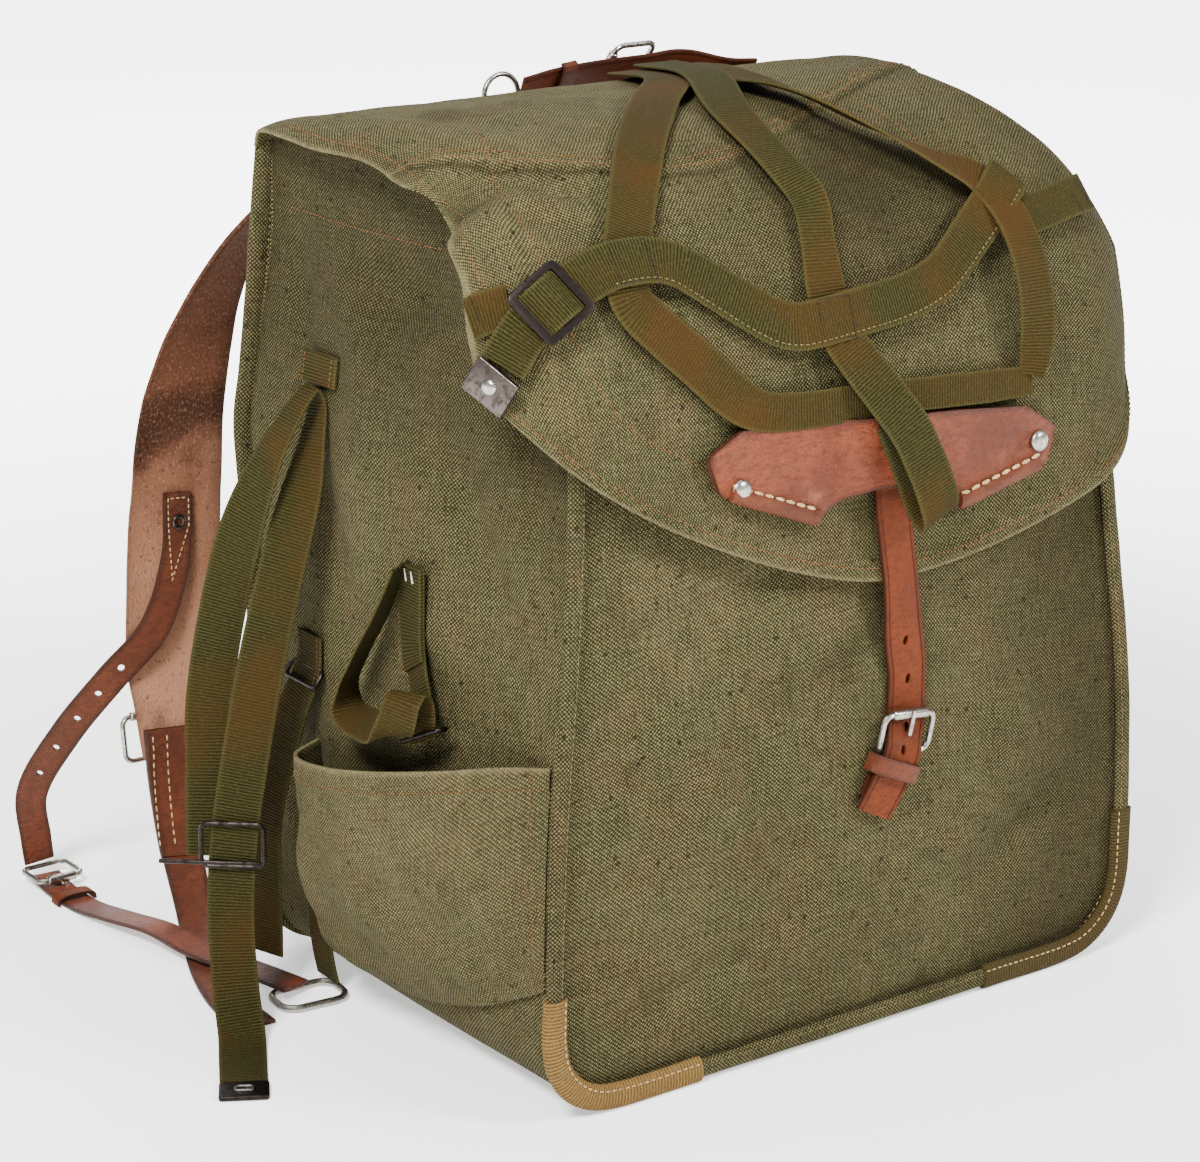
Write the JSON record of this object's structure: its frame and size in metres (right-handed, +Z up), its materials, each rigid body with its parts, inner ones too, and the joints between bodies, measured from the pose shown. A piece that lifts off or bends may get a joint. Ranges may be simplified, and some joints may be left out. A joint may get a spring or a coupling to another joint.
{
  "type": "rucksack",
  "caption": "Olive canvas rucksack with a buckled flap, leather patch, webbing harness, side pockets and leather shoulder straps.",
  "frame": {"origin": "middle of the flat base, on the floor it stands on", "axes": "+Z up, -Y towards the front with the closure buckle, +X to the right seen from the front"},
  "size_m": [0.625, 0.4666, 0.4876],
  "materials": {
    "canvas": "coarse plain-weave cotton canvas",
    "webbing": "ribbed cotton webbing",
    "tape_cream": "ribbed binding tape",
    "tape_brown": "ribbed binding tape",
    "leather": "smooth, slightly glossy",
    "rough_leather": "rough flesh side out",
    "dark_steel": "darkened and worn",
    "nickel": "dulled nickel plating"
  },
  "bodies": {
    "root": {"front_panel": "canvas", "back_panel": "canvas", "side_panel_left": "canvas", "side_panel_right": "canvas", "base_panel": "canvas", "front_welt": "canvas", "back_welt": "canvas", "flap": "canvas", "pocket_left": "canvas", "pocket_right": "canvas", "web_left": "webbing", "web_lower": "webbing", "web_right": "webbing", "web_middle": "webbing", "cross_strap": "webbing", "cross_anchor": "webbing", "side_strap_left": "webbing", "side_strap_right": "webbing", "lower_web_left": "webbing", "lower_web_right": "webbing", "pocket_strap_left": "webbing", "pocket_strap_right": "webbing", "ring_tab_left": "webbing", "ring_tab_right": "webbing", "side_tab_left": "webbing", "side_tab_right": "webbing", "corner_binding_left": "tape_cream", "corner_binding_right": "tape_brown", "flap_patch": "leather", "closure_strap": "leather", "buckle_chape": "leather", "chape_keeper": "leather", "yoke_patch": "leather", "neck_strap": "leather", "strap_end_left": "leather", "strap_end_right": "leather", "steady_strap_left": "leather", "steady_strap_right": "leather", "steady_end_left": "leather", "steady_end_right": "leather", "shoulder_strap_left": "rough_leather", "shoulder_strap_right": "rough_leather", "cross_slide": "dark_steel", "side_slide_left": "dark_steel", "side_slide_right": "dark_steel", "side_tip_left": "dark_steel", "side_tip_right": "dark_steel", "pocket_slide_left": "dark_steel", "pocket_slide_right": "dark_steel", "cross_tip": "nickel", "closure_buckle": "nickel", "neck_buckle": "nickel", "neck_ring": "nickel", "strap_buckle_left": "nickel", "strap_buckle_right": "nickel", "steady_buckle_left": "nickel", "steady_buckle_right": "nickel", "base_ring_left": "nickel", "base_ring_right": "nickel"}
  },
  "joints": []
}
